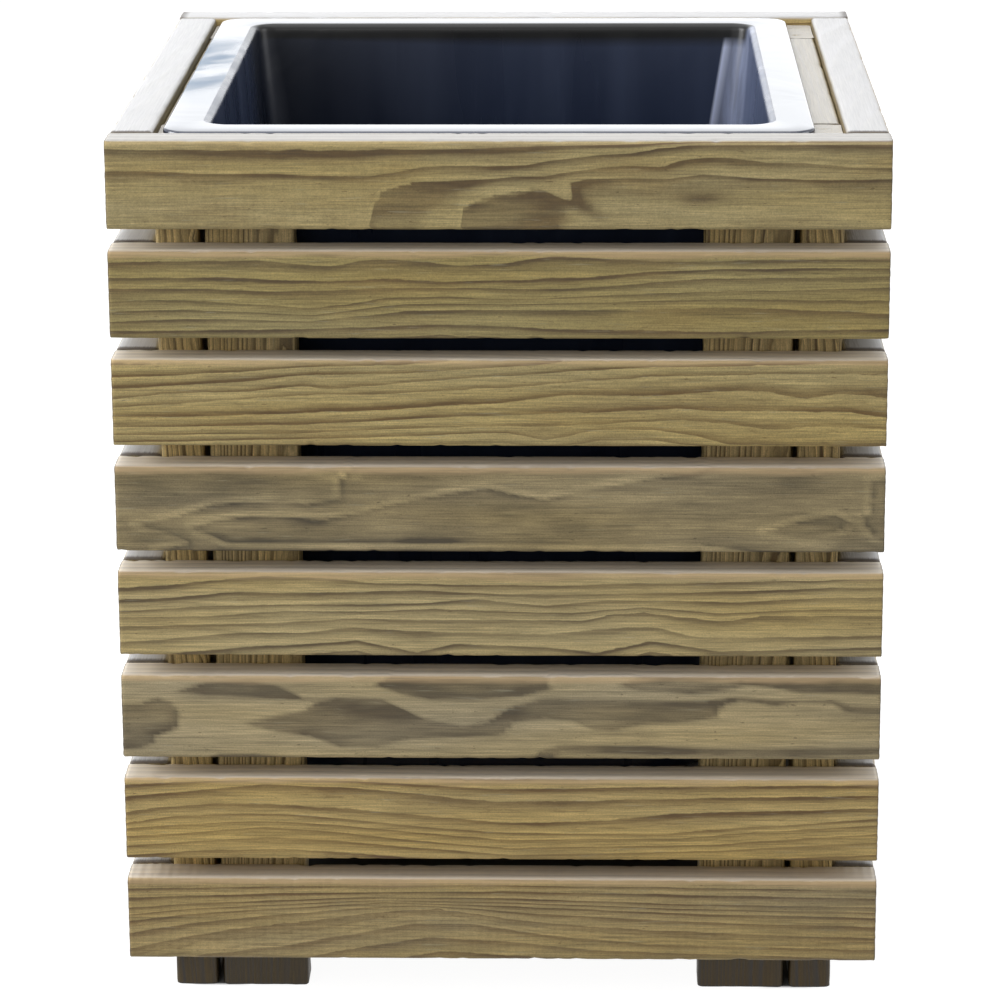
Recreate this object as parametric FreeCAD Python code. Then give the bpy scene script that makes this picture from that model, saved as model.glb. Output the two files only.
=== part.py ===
import FreeCAD, Part
import math
import os

# Square planter: a box of planed boards on four corner legs, with a liner that lifts out.
# Millimetres. The origin is on the ground under the middle of the box.
# +X is to the right, +Y to the back and +Z up.

# Driving sizes of the box
outer_width = 500.0
outer_depth = 500.0
slat_count = 8
slat_gap = 13.5
ground_gap = 31.0

# Board stock, planed on all sides, with its long edges eased
board_thick = 28.0
board_wide = 58.0
board_round = 3.0

# Joints between the boards
side_slat_end_gap = 1.5
leg_top_drop = 6.0
leg_split = 4.0
rail_end_gap = 1.0

# Base that the liner stands on
bearer_rise = 40.0
floor_board_count = 5
floor_board_end_gap = 1.0

# Wood screws, all with the same head and shank
screw_head_radius = 4.0
screw_head_height = 2.8
screw_shank_radius = 1.75
screw_tip_length = 4.0
screw_bite = 17.0
screw_hole_clearance = 0.25
screw_tip_clearance = 1.0
rail_screw_share = 0.5

# Liner, a thin tub with a wide rim
rim_left_gap = 5.0
rim_right_gap = 19.0
rim_end_gap = 2.0
rim_corner = 18.0
rim_lip = 5.5
rim_edge_round = 2.0
shoulder_round = 5.0
opening_corner = 13.0
tub_bottom_corner = 60.0
tub_bottom_round = 14.0
liner_wall = 2.0
draft_angle = math.radians(3.7)
liner_seat_gap = 0.3
tub_leg_gap = 1.0
arc_steps = 4
lip_steps = 2

# Places worked out from the sizes above
half_width = outer_width / 2
half_depth = outer_depth / 2
slat_pitch = board_wide + slat_gap
slats_top = ground_gap + slat_count * board_wide + (slat_count - 1) * slat_gap
leg_top = slats_top - leg_top_drop
inner_half_width = half_width - board_thick
inner_half_depth = half_depth - board_thick
leg_inner_x = inner_half_width - board_thick
leg_inner_y = inner_half_depth - board_thick
side_leg_y = inner_half_depth - board_wide / 2
face_leg_x = leg_inner_x - leg_split - board_wide / 2
rail_top = leg_top
rail_screw_z = (rail_top + slats_top - board_wide) / 2
bearer_top = bearer_rise + board_wide
floor_top = bearer_top + board_thick
rim_width = 2 * inner_half_width - rim_left_gap - rim_right_gap
rim_depth = 2 * inner_half_depth - 2 * rim_end_gap
under_round = shoulder_round - liner_wall
under_rise = max(0, shoulder_round - rim_lip - liner_seat_gap)
under_reach = math.sqrt(under_round ** 2 - under_rise ** 2)
flange_flat = board_thick - min(rim_left_gap, rim_end_gap) + tub_leg_gap - under_reach

parts = {}
screws = {}


def board(centre, size, grain):
    """A board given by its middle and its size, with the edges along the grain eased."""
    box = Part.makeBox(size[0], size[1], size[2])
    box.translate(FreeCAD.Vector(centre[0] - size[0] / 2, centre[1] - size[1] / 2, centre[2] - size[2] / 2))
    long_edges = []
    for edge in box.Edges:
        run = edge.Vertexes[1].Point - edge.Vertexes[0].Point
        if abs(run[grain]) == max(abs(run.x), abs(run.y), abs(run.z)):
            long_edges.append(edge)
    return box.makeFillet(board_round, long_edges)


def turned(outline):
    """A solid turned about +Z from an outline of (radius, height) points."""
    points = [FreeCAD.Vector(radius, 0, height) for radius, height in outline]
    face = Part.Face(Part.makePolygon(points + points[:1]))
    return face.revolve(FreeCAD.Vector(0, 0, 0), FreeCAD.Vector(0, 0, 1), 360)


def aimed(solid, point, direction):
    """Turns a solid that runs along +Z to run along a direction from a point."""
    turn = FreeCAD.Rotation(FreeCAD.Vector(0, 0, 1), FreeCAD.Vector(*direction))
    solid.Placement = FreeCAD.Placement(FreeCAD.Vector(*point), turn)
    return solid


def drive(group, point, direction, through):
    """Puts a countersunk screw through one board and into the next, and keeps its hole."""
    length = through + screw_bite
    hole_radius = screw_shank_radius + screw_hole_clearance
    taper = (screw_head_radius - screw_shank_radius) / screw_head_height
    hole_neck = (screw_head_radius - hole_radius) / taper
    screw = turned([
        (0, 0),
        (screw_head_radius, 0),
        (screw_shank_radius, screw_head_height),
        (screw_shank_radius, length - screw_tip_length),
        (0, length),
    ])
    hole = turned([
        (0, 0),
        (screw_head_radius, 0),
        (hole_radius, hole_neck),
        (hole_radius, length + screw_tip_clearance),
        (0, length + screw_tip_clearance),
    ])
    entry = (aimed(screw, point, direction), aimed(hole, point, direction))
    screws.setdefault(group, []).append(entry)


def slat_middle(number):
    """Height of the middle of a slat, counted from 1 at the ground."""
    return ground_gap + (number - 1) * slat_pitch + board_wide / 2


def add_slats():
    """Eight slats on each side: full-length ones at front and back, shorter ones between them."""
    face_size = (outer_width, board_thick, board_wide)
    side_size = (board_thick, 2 * (inner_half_depth - side_slat_end_gap), board_wide)
    face_y = half_depth - board_thick / 2
    side_x = half_width - board_thick / 2
    for number in range(1, slat_count + 1):
        z = slat_middle(number)
        parts["front_slat_%d" % number] = board((0, -face_y, z), face_size, 0)
        parts["back_slat_%d" % number] = board((0, face_y, z), face_size, 0)
        parts["left_slat_%d" % number] = board((-side_x, 0, z), side_size, 1)
        parts["right_slat_%d" % number] = board((side_x, 0, z), side_size, 1)
        for sign in (-1, 1):
            drive("front_slat_screws", (sign * face_leg_x, -leg_inner_y, z), (0, -1, 0), board_thick)
            drive("back_slat_screws", (sign * face_leg_x, leg_inner_y, z), (0, 1, 0), board_thick)
            drive("left_slat_screws", (-leg_inner_x, sign * side_leg_y, z), (-1, 0, 0), board_thick)
            drive("right_slat_screws", (leg_inner_x, sign * side_leg_y, z), (1, 0, 0), board_thick)


def add_legs():
    """A leg of two battens in each corner, whose lower ends are the feet."""
    side_size = (board_thick, board_wide, leg_top)
    face_size = (board_wide, board_thick, leg_top)
    side_x = inner_half_width - board_thick / 2
    face_y = inner_half_depth - board_thick / 2
    for end, sign_y in (("front", -1), ("back", 1)):
        for hand, sign_x in (("left", -1), ("right", 1)):
            name = "%s_%s_leg" % (end, hand)
            side_centre = (sign_x * side_x, sign_y * side_leg_y, leg_top / 2)
            face_centre = (sign_x * face_leg_x, sign_y * face_y, leg_top / 2)
            parts[name + "_side_batten"] = board(side_centre, side_size, 2)
            parts[name + "_face_batten"] = board(face_centre, face_size, 2)
            for number in (2, slat_count - 1):
                z = slat_middle(number) + board_wide / 4
                head = (sign_x * side_x, sign_y * (inner_half_depth - board_wide), z)
                drive("corner_screws", head, (0, sign_y, 0), board_wide)


def add_rails():
    """A rail along each side, between the legs, that the liner's rim rests on."""
    length = 2 * (inner_half_depth - board_wide - rail_end_gap)
    size = (board_thick, length, board_wide)
    rail_x = inner_half_width - board_thick / 2
    for hand, sign in (("left", -1), ("right", 1)):
        parts[hand + "_rim_rail"] = board((sign * rail_x, 0, rail_top - board_wide / 2), size, 1)
        for end in (-1, 1):
            head = (sign * leg_inner_x, end * rail_screw_share * length / 2, rail_screw_z)
            drive("rail_screws", head, (sign, 0, 0), board_thick)


def add_base():
    """Two bearers on edge between the legs, and the boards that lie across them."""
    bearer_size = (board_thick, 2 * leg_inner_y, board_wide)
    bearer_x = leg_inner_x - board_thick / 2
    bearer_z = bearer_rise + board_wide / 2
    bearer_screw_y = (leg_inner_y + inner_half_depth - board_wide) / 2
    for hand, sign in (("left", -1), ("right", 1)):
        parts[hand + "_floor_bearer"] = board((sign * bearer_x, 0, bearer_z), bearer_size, 1)
        for end in (-1, 1):
            head = (sign * (leg_inner_x - board_thick), end * bearer_screw_y, bearer_z)
            drive("bearer_screws", head, (sign, 0, 0), board_thick)
    floor_size = (2 * (leg_inner_x - floor_board_end_gap), board_wide, board_thick)
    spare = 2 * leg_inner_y - floor_board_count * board_wide
    pitch = board_wide + spare / (floor_board_count + 1)
    for number in range(1, floor_board_count + 1):
        y = (number - (floor_board_count + 1) / 2) * pitch
        parts["floor_board_%d" % number] = board((0, y, bearer_top + board_thick / 2), floor_size, 0)
        for sign in (-1, 1):
            drive("floor_screws", (sign * bearer_x, y, floor_top), (0, 0, -1), board_thick)


def cut_holes():
    """Cuts each screw's hole from every board that it passes through."""
    for name in parts:
        for group in screws.values():
            holes = [hole for screw, hole in group if hole.BoundBox.intersect(parts[name].BoundBox)]
            if holes:
                parts[name] = parts[name].cut(holes)


def ring(inset, height, corner):
    """A rounded rectangle that lies inside the rim's outer edge by an inset."""
    arcs = []
    for quarter, (sign_x, sign_y) in enumerate(((1, 1), (-1, 1), (-1, -1), (1, -1))):
        x = sign_x * (rim_width / 2 - inset - corner)
        y = sign_y * (rim_depth / 2 - inset - corner)
        arc = []
        for turn in (quarter, quarter + 1 / 2, quarter + 1):
            angle = turn * math.pi / 2
            arc.append(FreeCAD.Vector(x + corner * math.cos(angle), y + corner * math.sin(angle), height))
        arcs.append(arc)
    edges = []
    for arc, after in zip(arcs, arcs[1:] + arcs[:1]):
        edges.append(Part.Arc(*arc).toShape())
        edges.append(Part.makeLine(arc[-1], after[0]))
    return Part.Wire(edges)


def band(near, far):
    """The faces between two rings: a flat one where they are level, and else straight runs."""
    if math.isclose(near[1], far[1]):
        outer, inner = sorted((near, far), key=lambda place: place[0])
        return [Part.Face(ring(*outer)).cut(Part.Face(ring(*inner)))]
    return Part.makeLoft([ring(*near), ring(*far)], False, True).Faces


def liner():
    """The tub in one piece: under its floor, up outside, over the rim and down inside."""
    rim_top = rail_top + liner_seat_gap + rim_lip
    tub_floor = floor_top + liner_seat_gap + liner_wall
    slope = math.tan(draft_angle)
    wall_top = rim_top - shoulder_round + shoulder_round * math.sin(draft_angle)
    wall_top_inset = flange_flat + shoulder_round * math.cos(draft_angle)
    wall_low = tub_floor + tub_bottom_round - tub_bottom_round * math.sin(draft_angle)
    wall_low_inset = wall_top_inset + (wall_top - wall_low) * slope
    low_centre_inset = wall_low_inset + tub_bottom_round * math.cos(draft_angle)

    def corner_at(inset, height):
        """Corner radius of a ring: it grows down the wall, and rings off the wall run parallel to it."""
        level = min(max(height, wall_low), wall_top)
        share = (wall_top - level) / (wall_top - wall_low)
        wall_inset = wall_top_inset + (wall_top - level) * slope
        wall_corner = opening_corner + (tub_bottom_corner - opening_corner) * share
        return wall_corner + wall_inset - inset

    def bottom_arc(radius):
        """Places round the tub's bottom edge, from the wall to the floor."""
        for step in range(arc_steps + 1):
            angle = draft_angle + (math.pi / 2 - draft_angle) * step / arc_steps
            inset = low_centre_inset - radius * math.cos(angle)
            height = tub_floor + tub_bottom_round - radius * math.sin(angle)
            yield inset, height, corner_at(inset, height)

    def shoulder_arc(radius):
        """Places over the rounded shoulder, from the flat of the rim to the wall."""
        for step in range(arc_steps + 1):
            angle = (math.pi / 2 - draft_angle) * step / arc_steps
            inset = flange_flat + radius * math.sin(angle)
            height = rim_top - shoulder_round + radius * math.cos(angle)
            yield inset, height, corner_at(inset, height)

    def lip_arc():
        """Places round the rim's outer edge, from the lip to the flat."""
        for step in range(lip_steps + 1):
            angle = math.pi / 2 * step / lip_steps
            inset = rim_edge_round * (1 - math.cos(angle))
            height = rim_top - rim_edge_round * (1 - math.sin(angle))
            yield inset, height, rim_corner - inset

    path = list(bottom_arc(tub_bottom_round + liner_wall))[::-1]
    path += list(shoulder_arc(under_round))[::-1]
    path.append((liner_wall, rim_top - liner_wall, rim_corner - liner_wall))
    path.append((liner_wall, rim_top - rim_lip, rim_corner - liner_wall))
    path.append((0, rim_top - rim_lip, rim_corner))
    path += list(lip_arc())
    path += list(shoulder_arc(shoulder_round))
    path += list(bottom_arc(tub_bottom_round))
    faces = [Part.Face(ring(*path[0])), Part.Face(ring(*path[-1]))]
    for near, far in zip(path, path[1:]):
        faces += band(near, far)
    skin = Part.makeCompound(faces)
    skin.sewShape()
    tub = Part.makeSolid(skin.Shells[0])
    tub.translate(FreeCAD.Vector(rim_left_gap + rim_width / 2 - inner_half_width, 0, 0))
    return tub


add_slats()
add_legs()
add_rails()
add_base()
cut_holes()
parts["liner"] = liner()
for group in screws:
    parts[group] = Part.makeCompound([screw for screw, hole in screws[group]])

os.makedirs("parts", exist_ok=True)
for name in parts:
    parts[name].exportStep("parts/%s.step" % name)
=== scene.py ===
import math

import bpy
import numpy as np
from mathutils import Euler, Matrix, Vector, noise


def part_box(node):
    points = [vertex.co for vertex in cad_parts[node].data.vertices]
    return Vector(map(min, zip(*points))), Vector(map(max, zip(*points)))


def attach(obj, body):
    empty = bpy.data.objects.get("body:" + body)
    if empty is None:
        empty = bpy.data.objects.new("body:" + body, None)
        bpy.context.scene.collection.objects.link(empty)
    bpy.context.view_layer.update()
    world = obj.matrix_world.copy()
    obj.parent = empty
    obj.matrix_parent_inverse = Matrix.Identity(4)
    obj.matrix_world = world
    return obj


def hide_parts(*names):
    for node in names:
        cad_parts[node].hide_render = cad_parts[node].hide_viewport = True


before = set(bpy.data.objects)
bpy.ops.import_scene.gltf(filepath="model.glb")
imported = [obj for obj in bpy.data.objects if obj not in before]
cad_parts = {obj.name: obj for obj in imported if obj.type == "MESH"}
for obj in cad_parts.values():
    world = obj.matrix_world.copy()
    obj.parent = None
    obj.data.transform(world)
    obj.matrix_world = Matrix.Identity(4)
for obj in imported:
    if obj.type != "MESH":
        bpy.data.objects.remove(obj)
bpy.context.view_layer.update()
mm = 0.001

# Camera, fitted to the photograph's edges
camera_place = (62.7 * mm, -2690.1 * mm, 1075.5 * mm)
camera_down = math.radians(15.764)
camera_turn = math.radians(1.457)
camera_roll = math.radians(-0.284)
camera_focal_pixels = 3926.4
camera_sensor = 36.0
image_pixels = 1000
axis_pixel_y = 450

# Boards: their eased edges, how finely they are made, and how rough their faces, edges and ends are
edge_round = 3 * mm
edge_steps = 4
ring_step = 8 * mm
face_step = 5 * mm
fine_ring_step = 4 * mm
fine_face_step = 2 * mm
end_band = 3 * mm
first_ring = 8 * mm
planed_wobble = 0.18 * mm
edge_wear = 1.8 * mm
wear_start = 0.22
saw_wobble = 0.5 * mm
end_ease = 0.5 * mm
side_end_ease = 1.4 * mm
end_ring_shares = (0.96, 0.8, 0.5)
end_grain_depth = 0.15 * mm

# How quickly the noises of dents, chips, sawn edges and end grain change, per metre along and across
dent_pace = Vector((30, 60, 60))
chip_pace = Vector((130, 90, 90))
saw_pace = 300
end_grain_pace = 400

# How far apart the boards lie in the noises, for each step of their seed
seed_stride = (1.7, 3.1, 0.9)
log_stride = (1370.0, 211.0, 0.0)

# A front slat in millimetres, and three slats' left, right, top and bottom in the photograph's pixels
slat_run = 500
slat_height = 58
slat_half_depth = 14
top_slat_pixels = (109.6, 891.5, 141, 229)
fourth_slat_pixels = (113.7, 885.2, 466, 549)
sixth_slat_pixels = (116.5, 881.0, 675, 758)

# Drawn figures: their growth rings into the board's depth and below the lowest line
rings_per_mm_deep = 0.12
mm_per_ring_below = 7
least_line_gap = 0.5

# Liner: the rim's flat, lip and edges, the shoulder, the tub's corners, and how finely it is made
rim_corner = 18 * mm
rim_lip = 5.5 * mm
rim_edge_round = 2 * mm
rim_flat = 24 * mm
shoulder_round = 5 * mm
opening_corner = 13 * mm
bottom_corner = 60 * mm
bottom_round = 14 * mm
liner_wall = 2 * mm
draft = math.radians(3.7)
wall_hold = 2 * mm
wall_step = 24 * mm
arc_steps = 8
lip_steps = 4
corner_steps = 12
side_steps = 14


# Meshes

def new_object(name, data):
    """Puts a new object into the scene."""
    thing = bpy.data.objects.new(name, data)
    bpy.context.scene.collection.objects.link(thing)
    return thing


def new_piece(name, vertices, faces, smooth, material, body, nodes):
    """Makes a mesh object that rides on a body and stands for CAD nodes. Smooth has a flag per face."""
    mesh = bpy.data.meshes.new(name)
    mesh.from_pydata([tuple(v) for v in vertices], [], faces)
    mesh.validate()
    mesh.materials.append(material)
    mesh.polygons.foreach_set("use_smooth", smooth)
    piece = new_object(name, mesh)
    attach(piece, body)
    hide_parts(*nodes)
    return piece


def set_attribute(mesh, name, values):
    """Gives every vertex a value or a vector of its own, for the materials to read."""
    kind, field = ("FLOAT_VECTOR", "vector") if values.ndim == 2 else ("FLOAT", "value")
    attribute = mesh.attributes.new(name, kind, "POINT")
    attribute.data.foreach_set(field, values.ravel().astype(np.float32))


def band(first, second):
    """The faces between two rings of vertices, given as their indices."""
    count = len(first)
    return [(first[i], first[(i + 1) % count], second[(i + 1) % count], second[i]) for i in range(count)]


def turned(faces):
    """The same faces, looking the other way."""
    return [tuple(reversed(face)) for face in faces]


def spaced(low, high, step):
    """Even places from low to high, about a step apart."""
    count = max(1, round((high - low) / step))
    return [low + (high - low) * i / count for i in range(count + 1)]


def rounded_outline(half_x, half_y, corner, corner_steps, steps_x, steps_y, first_quarter=0):
    """A rectangle with rounded corners, as (x, y, on_corner) points anticlockwise from one quarter."""
    flat_x = half_x - corner
    flat_y = half_y - corner
    points = []
    corners = ((1, 1), (-1, 1), (-1, -1), (1, -1))
    for quarter in range(first_quarter, first_quarter + 4):
        sign_x, sign_y = corners[quarter % 4]
        for step in range(corner_steps + 1):
            angle = (quarter + step / corner_steps) * math.pi / 2
            x = sign_x * flat_x + corner * math.cos(angle)
            y = sign_y * flat_y + corner * math.sin(angle)
            points.append((x, y, True))
        next_x, next_y = corners[(quarter + 1) % 4]
        for share in spaced(0, 1, 1 / (steps_x, steps_y)[quarter % 2])[1:-1]:
            along_x = (next_x - sign_x) * flat_x * share
            along_y = (next_y - sign_y) * flat_y * share
            points.append((x + along_x, y + along_y, False))
    return points


def board_stations(length, ease, step):
    """Where a board's rings of vertices stand along it: close at the ends and even between."""
    half = length / 2
    end = [half - end_band, half - ease, half]
    even = spaced(first_ring - half, half - first_ring, step)
    return [-place for place in reversed(end)] + even + end


def worn_sides(outline, stations, ease, seed):
    """A board's sides, ring by ring, as (run, a, b) places: dents, worn edges and uneven ends."""
    places = []
    last = len(stations) - 1
    for index, run in enumerate(stations):
        from_end = min(index, last - index)
        end_inset = 0 if from_end else ease
        for a, b, on_edge in outline:
            place = Vector((run, a, b))
            dent = planed_wobble * (0.5 + 0.5 * noise.noise(place * dent_pace + seed))
            chip = max(0, noise.noise(place * chip_pace + seed) - wear_start) * on_edge * edge_wear
            inset = (dent + chip + end_inset) / max(abs(a), abs(b))
            pull = noise.noise(Vector((a * saw_pace, b * saw_pace, run)) + seed) * 0.5 + 0.5
            shift = saw_wobble * pull * (-1 if run > 0 else 1) if from_end < 2 else 0
            places.append((run + shift, a * (1 - inset), b * (1 - inset)))
    return places


def close_end(places, start, count, end, seed):
    """Closes a board's end, -1 or 1, with shrinking rings of rough end grain, and gives the faces."""
    faces = []
    previous = range(start, start + count)
    for share in end_ring_shares:
        fresh = range(len(places), len(places) + count)
        for run, a, b in places[start:start + count]:
            spot = Vector((a * share * end_grain_pace, b * share * end_grain_pace, end)) + seed
            depth = end_grain_depth * (1 + noise.noise(spot))
            places.append((run - end * depth, a * share, b * share))
        faces += band(previous, fresh)
        previous = fresh
    faces.append(tuple(previous))
    return faces if end > 0 else turned(faces)


def plank(name, grain, figure, material, fine=False, ease=end_ease):
    """A board in the place of a CAD node: planed faces, worn edges and sawn ends."""
    low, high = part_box(name)
    centre = (low + high) / 2
    size = high - low
    length = size[grain]
    side_a, side_b = [axis for axis in range(3) if axis != grain]
    half_sides = (size[side_a] / 2, size[side_b] / 2)
    across_step = fine_face_step if fine else face_step
    side_counts = [max(1, round((half - edge_round) * 2 / across_step)) for half in half_sides]
    outline = rounded_outline(*half_sides, edge_round, edge_steps, *side_counts, first_quarter=-1)
    stations = board_stations(length, ease, fine_ring_step if fine else ring_step)
    seed = figure.seed * Vector(seed_stride)
    places = worn_sides(outline, stations, ease, seed)
    side_places = len(places)
    count = len(outline)
    faces = []
    for start in range(count, side_places, count):
        faces += band(range(start - count, start), range(start, start + count))
    side_faces = len(faces)
    faces += close_end(places, 0, count, -1, seed)
    faces += close_end(places, side_places - count, count, 1, seed)
    if grain == 1:
        faces = turned(faces)
    vertices = np.empty((len(places), 3))
    vertices[:, (grain, side_a, side_b)] = places
    vertices += np.array(centre)
    smooth = [index < side_faces for index in range(len(faces))]
    piece = new_piece("board_" + name, vertices, faces, smooth, material, "frame", [name])
    local = np.array(places) / mm
    to_end = np.full(len(places), length / mm)
    to_end[:side_places] = length / mm / 2 - np.abs(local[:side_places, 0])
    set_attribute(piece.data, "log", local + figure.seed * np.array(log_stride))
    set_attribute(piece.data, "rings", figure.rings(local))
    set_attribute(piece.data, "ends", to_end)


# Figures of the boards

# Places are (run, depth, height) in millimetres from a board's middle. Height is across the wide face.

class Log:
    """Where a board was cut from its log, which settles its figure.

    The heart lies off the board's middle by across and deep, and drifts by lean_across and
    lean_deep over a metre of board, which opens the pointed figures. One ring is ring wide.
    """

    def __init__(self, seed, across, deep, lean_across=20, lean_deep=10, ring=4.0):
        self.seed = seed
        self.across = across
        self.deep = deep
        self.lean_across = lean_across
        self.lean_deep = lean_deep
        self.ring = ring

    def rings(self, local):
        """How many growth rings lie between the heart and each place."""
        run, depth, height = local.T
        across = height - self.across + self.lean_across * run * mm
        deep = depth - self.deep + self.lean_deep * run * mm
        return np.sqrt(across ** 2 + deep ** 2) / self.ring


class Traced:
    """A board whose front figure is drawn: lines of late wood, and swells that close into patches.

    Each line is (count of rings, [(run, height), ...]) in millimetres from the board's middle, from
    the lowest line to the highest. Each swell is (run, height, half length, half width, rings, slant).
    A falling band is sharp at its upper edge and fades downward, and one that isn't does the reverse.
    """

    def __init__(self, seed, lines, swells=(), falling=True):
        self.seed = seed
        self.lines = lines
        self.swells = swells
        self.turn = -1 if falling else 1

    def rings(self, local):
        """The count of rings at each place, in even steps from each line to the next."""
        run, depth, height = local.T
        counts = [count for count, points in self.lines]
        levels = [np.interp(run, *zip(*points)) for count, points in self.lines]
        total = np.full(len(run), float(counts[0]))
        total += np.minimum(0, height - levels[0]) / mm_per_ring_below
        for index in range(1, len(levels)):
            low, high = levels[index - 1], levels[index]
            share = np.clip((height - low) / np.maximum(high - low, least_line_gap), 0, 1)
            total += share * (counts[index] - counts[index - 1])
        for at, level, half_length, half_width, swell, slant in self.swells:
            aside = run - at - slant * (height - level)
            far = (aside / half_length) ** 2 + ((height - level) / half_width) ** 2
            total += swell * np.exp(-far)
        return self.turn * total - (depth + slat_half_depth) * rings_per_mm_deep


class Patched:
    """A board whose front shows patches of late wood, each drawn as an outline with a soft edge.

    The shares say how late the wood is, from 0 to 1: far outside, just outside, just inside and far
    inside an outline. The reaches, in millimetres, are how far the edge, the outside and the inside go.
    """

    def __init__(self, seed, outlines, shares, edge, reach_out, reach_in):
        self.seed = seed
        self.outlines = outlines
        self.shares = shares
        self.reaches = (-reach_out, -edge, edge, reach_in)

    def rings(self, local):
        """How late the wood is at each place, as a falling count of rings."""
        run, depth, height = local.T
        far_out = self.shares[0]
        total = np.full(len(run), -far_out)
        for outline in self.outlines:
            inside = np.zeros(len(run), bool)
            away = np.full(len(run), np.inf)
            for (x0, y0), (x1, y1) in zip(outline, outline[1:] + outline[:1]):
                step_x = x1 - x0
                step_y = y1 - y0
                along = ((run - x0) * step_x + (height - y0) * step_y) / (step_x ** 2 + step_y ** 2)
                along = np.clip(along, 0, 1)
                away = np.minimum(away, np.hypot(run - x0 - along * step_x, height - y0 - along * step_y))
                if step_y:
                    crossing = x0 + (height - y0) / step_y * step_x
                    inside ^= ((y0 > height) != (y1 > height)) & (run < crossing)
            total -= np.interp(np.where(inside, away, -away), self.reaches, self.shares) - far_out
        return total - (depth + slat_half_depth) * rings_per_mm_deep


def on_slat(left_pixel, right_pixel, top_pixel, bottom_pixel, spots):
    """Spots read off the photograph's pixels on a front slat's face, as (run, height) in millimetres."""
    middle_x = (left_pixel + right_pixel) / 2
    middle_y = (top_pixel + bottom_pixel) / 2
    run_scale = slat_run / (right_pixel - left_pixel)
    height_scale = slat_height / (bottom_pixel - top_pixel)
    return [((x - middle_x) * run_scale, (middle_y - y) * height_scale) for x, y in spots]


# Materials

class Nodes:
    """Short calls for building the nodes of a material or of the world."""

    def __init__(self, owner, shader="Principled BSDF"):
        owner.use_nodes = True
        self.owner = owner
        self.tree = owner.node_tree
        self.shader = self.tree.nodes[shader]

    def link(self, source, target):
        """Links an output to an input, or sets the input to a plain value."""
        if hasattr(source, "is_output"):
            self.tree.links.new(source, target)
        else:
            target.default_value = source

    def set(self, socket, value):
        self.link(value, self.shader.inputs[socket])

    def made(self, kind, output, inputs, **settings):
        """Adds a node, links or sets its inputs, and gives one of its outputs."""
        node = self.tree.nodes.new(kind)
        for key, value in settings.items():
            setattr(node, key, value)
        for socket, value in inputs.items():
            self.link(value, node.inputs[socket])
        return node.outputs[output]

    def attribute(self, name, output="Fac"):
        return self.made("ShaderNodeAttribute", output, {}, attribute_name=name)

    def place(self):
        return self.made("ShaderNodeTexCoord", "Object", {})

    def normal(self):
        return self.made("ShaderNodeNewGeometry", "Normal", {})

    def split(self, vector):
        """A vector's X, Y and Z."""
        return self.made("ShaderNodeSeparateXYZ", "X", {0: vector}).node.outputs

    def math(self, operation, *values):
        return self.made("ShaderNodeMath", 0, dict(enumerate(values)), operation=operation)

    def plus(self, total, *values):
        for value in values:
            total = self.math("ADD", total, value)
        return total

    def times(self, total, *values):
        for value in values:
            total = self.math("MULTIPLY", total, value)
        return total

    def minus(self, first, second):
        return self.math("SUBTRACT", first, second)

    def swing(self, share, reach):
        """A noise from 0 to 1 as a value that swings about zero."""
        return self.times(self.minus(share, 0.5), reach)

    def noise(self, vector, scale, detail=2.0, rough=0.5, distort=0.0):
        pattern = {"Scale": scale, "Detail": detail, "Roughness": rough, "Distortion": distort}
        return self.made("ShaderNodeTexNoise", "Fac", {"Vector": vector, **pattern})

    def scaled(self, vector, scale, shift=(0, 0, 0)):
        return self.made("ShaderNodeMapping", 0, {"Vector": vector, "Scale": scale, "Location": shift})

    def ramp(self, value, stops):
        """A value as a colour, between stops of (value, grey or colour)."""
        color = self.made("ShaderNodeValToRGB", 0, {0: value})
        elements = color.node.color_ramp.elements
        while len(elements) < len(stops):
            elements.new(0.5)
        for element, (position, shade) in zip(elements, stops):
            element.position = position
            element.color = shade if isinstance(shade, tuple) else (shade, shade, shade, 1)
        return color

    def span(self, value, low, high, out_low=0.0, out_high=1.0):
        """A value from low to high as one from out_low to out_high, and no further."""
        return self.made("ShaderNodeMapRange", 0, dict(enumerate((value, low, high, out_low, out_high))))

    def mix(self, share, first, second, blend="MIX"):
        inputs = {"Factor": share, 6: first, 7: second}
        return self.made("ShaderNodeMix", 2, inputs, data_type="RGBA", blend_type=blend)

    def tint(self, color, by):
        return self.mix(1.0, color, by, "MULTIPLY")

    def bump(self, height, distance, strength, normal=None):
        inputs = {"Height": height, "Distance": distance, "Strength": strength}
        if normal is not None:
            inputs["Normal"] = normal
        return self.made("ShaderNodeBump", 0, inputs)


def linear(*parts):
    """A colour read off as 0 to 255, as the shader's linear red, green and blue, and its cover of 1."""
    shares = [part / 255 for part in parts]
    curved = [share / 12.92 if share <= 0.04045 else ((share + 0.055) / 1.055) ** 2.4 for share in shares]
    return (*curved, 1)


# Wood: how dark a ring and a fine line are across their width, the painted highlight where a ring starts,
# and colours
late_wood_band = [(0, 1), (0.05, 0.22), (0.14, 0), (0.42, 0.1), (0.66, 0.42), (0.86, 0.92), (1, 1)]
fine_line_band = [(0, 1), (0.12, 0.3), (0.3, 0), (0.7, 0.15), (0.93, 0.7), (1, 1)]
ring_start_highlight = [(0, 1), (0.02, 1), (0.06, 1.16), (0.2, 1), (1, 1)]
fleck_pale = linear(190, 186, 160)
# Painted highlight along the front slats' upper edge
tan_highlight = linear(214, 184, 140)
# Painted shade near the right legs
nook_shade = linear(70, 68, 62)
end_brown = linear(66, 54, 42)
# Painted shade at the feet
feet_shade_brown = linear(84, 76, 52)
cool_cast = (0.96, 0.99, 1.1, 1)
warm_cast = (1.04, 1.01, 0.9, 1)
grain_relief = 0.32 * mm


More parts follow.
